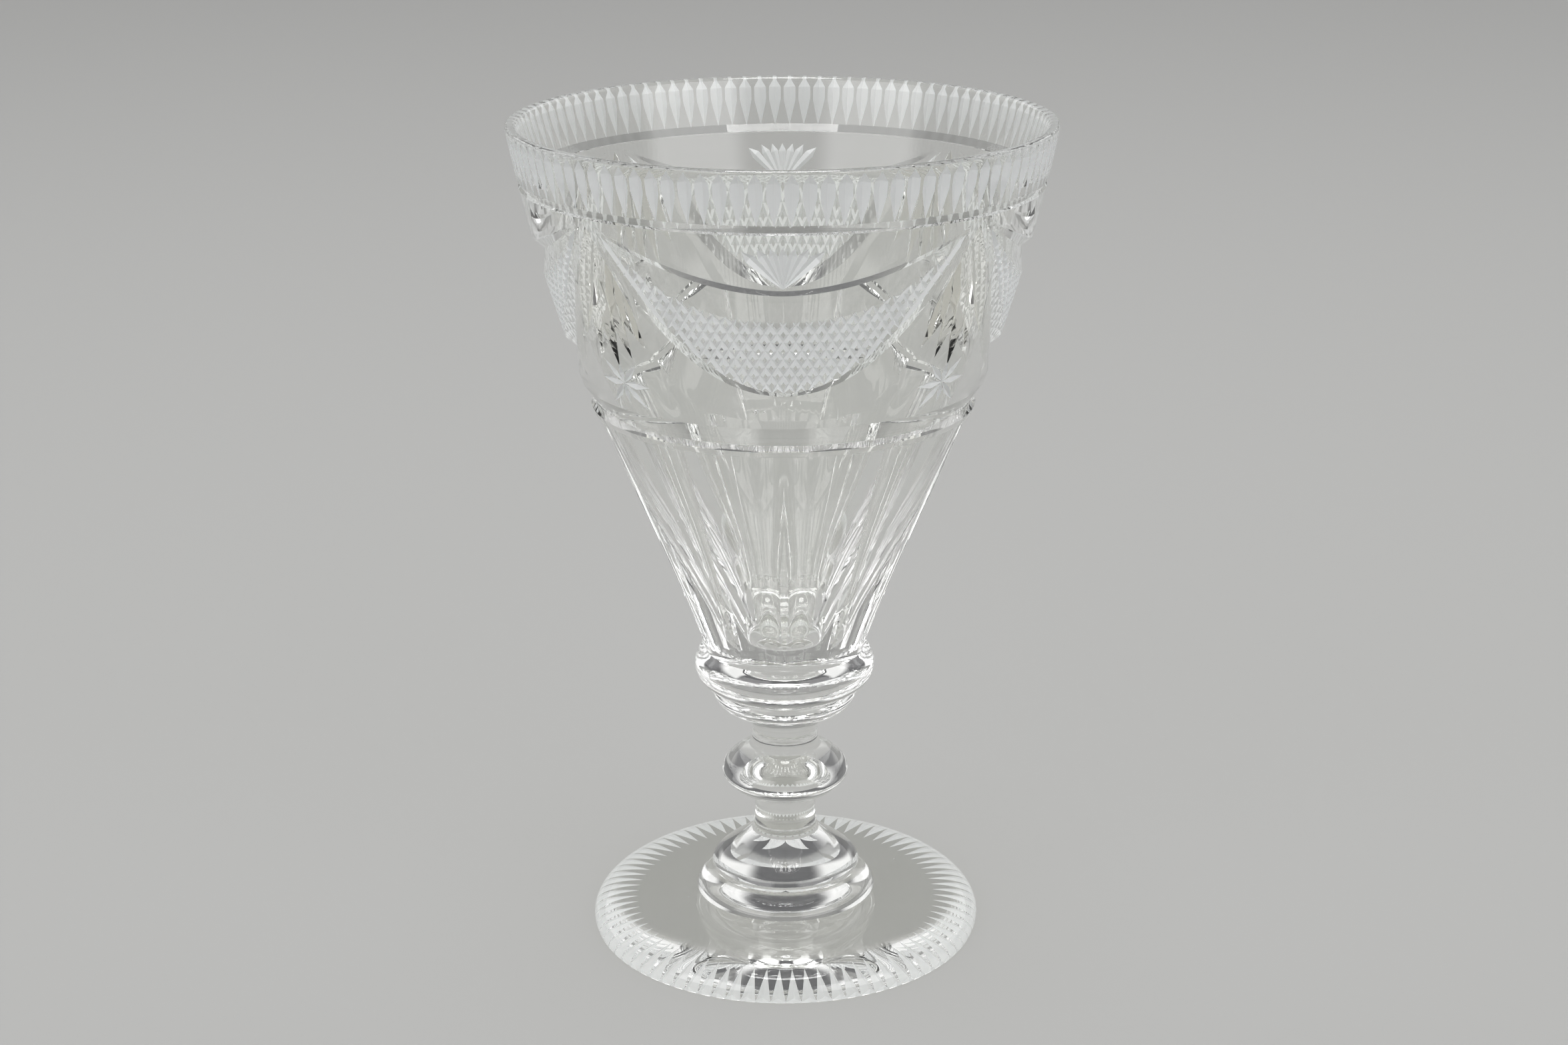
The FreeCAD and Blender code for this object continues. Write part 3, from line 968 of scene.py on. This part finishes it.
@dataclass
class Studio:
    """Pale floor, a lamp overhead, soft boxes all round with the front ones brighter, and the camera."""

    floor_colour: str = "#BCBCBA"
    floor_radius: float = 8.0
    floor_facets: int = 64
    floor_gap: float = 0.05 * MM
    paper_grain: float = 2.5 * MM
    paper_relief: float = 0.05 * MM
    low_tone: str = "#999998"
    high_tone: str = "#6A6A6C"
    tone_low: float = 0.18
    tone_high: float = 0.3
    box_count: float = 4.0
    box_wave: float = 0.5
    box_fade: float = 0.9
    box_low: float = 0.25
    box_high: float = 0.75
    box_edge: float = 0.02
    front_light: float = 2.6
    rear_light: float = 1.0
    side_blend: float = 0.3
    lamp_height: float = 2.4
    lamp_size: float = 1.0
    lamp_power: float = 24.0
    camera_place: Vector = Vector((0, -614.92, 316.14)) * MM
    camera_pitch: float = -18.685
    camera_roll: float = -0.24
    lens: float = 59.30
    sensor: float = 36.0
    near_clip: float = 0.01
    light_bounces: int = 32
    clear_bounces: int = 48
    gloss_bounces: int = 12

    def build(self) -> None:
        """Sets up the floor, the light and the camera."""
        self.floor()
        self.sky()
        self.lamp()
        self.camera()
        scene = bpy.context.scene
        scene.view_settings.view_transform = "Standard"
        scene.cycles.max_bounces = self.light_bounces
        scene.cycles.transmission_bounces = self.light_bounces
        scene.cycles.glossy_bounces = self.gloss_bounces
        scene.cycles.transparent_max_bounces = self.clear_bounces
        scene.cycles.caustics_refractive = False
        scene.cycles.caustics_reflective = False

    def floor(self) -> None:
        """Makes the plain floor."""
        mesh = bmesh.new()
        bmesh.ops.create_circle(mesh, cap_ends=True, segments=self.floor_facets, radius=self.floor_radius)
        data = bpy.data.meshes.new("floor")
        mesh.to_mesh(data)
        mesh.free()
        material, tree = new_tree("matt_paper")
        place = add_node(tree, "ShaderNodeTexCoord").outputs["Object"]
        grain = add_node(tree, "ShaderNodeTexNoise",
                         {"Vector": place, "Scale": 1 / self.paper_grain, "Detail": 2.0})
        bump = add_node(tree, "ShaderNodeBump",
                        {"Height": grain.outputs["Fac"], "Distance": self.paper_relief, "Strength": 0.3})
        paper = add_node(tree, "ShaderNodeBsdfPrincipled",
                         {"Base Color": linear(self.floor_colour), "Roughness": 0.9,
                          "Specular IOR Level": 0.2, "Normal": bump.outputs["Normal"]})
        add_node(tree, "ShaderNodeOutputMaterial", {"Surface": paper.outputs["BSDF"]})
        data.materials.append(material)
        floor = bpy.data.objects.new("floor", data)
        floor.location.z = -self.floor_gap
        bpy.context.scene.collection.objects.link(floor)

    def sky(self) -> None:
        """Makes the studio: the floor's far tone low down, dimmer above, and a ring of soft boxes."""
        world = bpy.data.worlds.new("studio")
        world.use_nodes = True
        tree = world.node_tree
        tree.nodes.clear()
        way = add_node(tree, "ShaderNodeTexCoord").outputs["Generated"]
        axes = add_node(tree, "ShaderNodeSeparateXYZ", {"Vector": way}).outputs
        height = add_node(tree, "ShaderNodeMapRange",
                          {"Value": axes["Z"], "From Min": self.tone_low, "From Max": self.tone_high},
                          interpolation_type="SMOOTHSTEP")
        dome = add_node(tree, "ShaderNodeMix",
                        {"Factor": height.outputs["Result"], "A": linear(self.low_tone),
                         "B": linear(self.high_tone)},
                        data_type="RGBA")
        angle = add_node(tree, "ShaderNodeMath", {0: axes["X"], 1: axes["Y"]}, operation="ARCTAN2")
        repeated = add_node(tree, "ShaderNodeMath", {0: angle.outputs[0], 1: self.box_count},
                            operation="MULTIPLY")
        wave = add_node(tree, "ShaderNodeMath", {0: repeated.outputs[0]}, operation="COSINE")
        across = add_node(tree, "ShaderNodeMapRange",
                          {"Value": wave.outputs[0], "From Min": self.box_wave,
                          "From Max": self.box_wave - self.box_fade},
                          interpolation_type="SMOOTHSTEP")
        above = add_node(tree, "ShaderNodeMapRange",
                         {"Value": axes["Z"], "From Min": self.box_low - self.box_edge,
                          "From Max": self.box_low + self.box_edge},
                         interpolation_type="SMOOTHSTEP")
        below = add_node(tree, "ShaderNodeMapRange",
                         {"Value": axes["Z"], "From Min": self.box_high + self.box_edge,
                          "From Max": self.box_high - self.box_edge},
                         interpolation_type="SMOOTHSTEP")
        tall = add_node(tree, "ShaderNodeMath", {0: above.outputs["Result"], 1: below.outputs["Result"]},
                        operation="MULTIPLY")
        box = add_node(tree, "ShaderNodeMath", {0: across.outputs["Result"], 1: tall.outputs[0]},
                       operation="MULTIPLY")
        power = add_node(tree, "ShaderNodeMapRange",
                         {"Value": axes["Y"], "From Min": -self.side_blend, "From Max": self.side_blend,
                          "To Min": self.front_light, "To Max": self.rear_light},
                         interpolation_type="SMOOTHSTEP")
        light = add_node(tree, "ShaderNodeMix",
                         {"Factor": box.outputs[0], "A": dome.outputs["Result"],
                          "B": power.outputs["Result"]},
                         data_type="RGBA")
        glow = add_node(tree, "ShaderNodeBackground", {"Color": light.outputs["Result"], "Strength": 1.0})
        add_node(tree, "ShaderNodeOutputWorld", {"Surface": glow.outputs["Background"]})
        bpy.context.scene.world = world

    def lamp(self) -> None:
        """Makes the large soft lamp overhead."""
        data = bpy.data.lights.new("overhead", "AREA")
        data.shape = "DISK"
        data.size = self.lamp_size
        data.energy = self.lamp_power
        lamp = bpy.data.objects.new("overhead", data)
        lamp.location = (0, 0, self.lamp_height)
        bpy.context.scene.collection.objects.link(lamp)

    def camera(self) -> None:
        """Makes the camera at the photograph's viewing angle."""
        data = bpy.data.cameras.new("camera")
        data.sensor_width = self.sensor
        data.lens = self.lens
        data.clip_start = self.near_clip
        camera = bpy.data.objects.new("camera", data)
        pitch = Matrix.Rotation(math.radians(90 + self.camera_pitch), 4, "X")
        roll = Matrix.Rotation(math.radians(self.camera_roll), 4, "Z")
        camera.matrix_world = Matrix.Translation(self.camera_place) @ pitch @ roll
        bpy.context.scene.collection.objects.link(camera)
        bpy.context.scene.camera = camera


def main() -> None:
    """Builds the goblet from the foot upward, then the studio."""
    logging.basicConfig(level=logging.INFO, format="%(name)s: %(message)s")
    ware = Glassware()
    for assembly in (Foot(), Stem(), Bowl()):
        assembly.build(ware)
        log.info("%s built", type(assembly).__name__.lower())
    Studio().build()


if __name__ == "__main__":
    main()
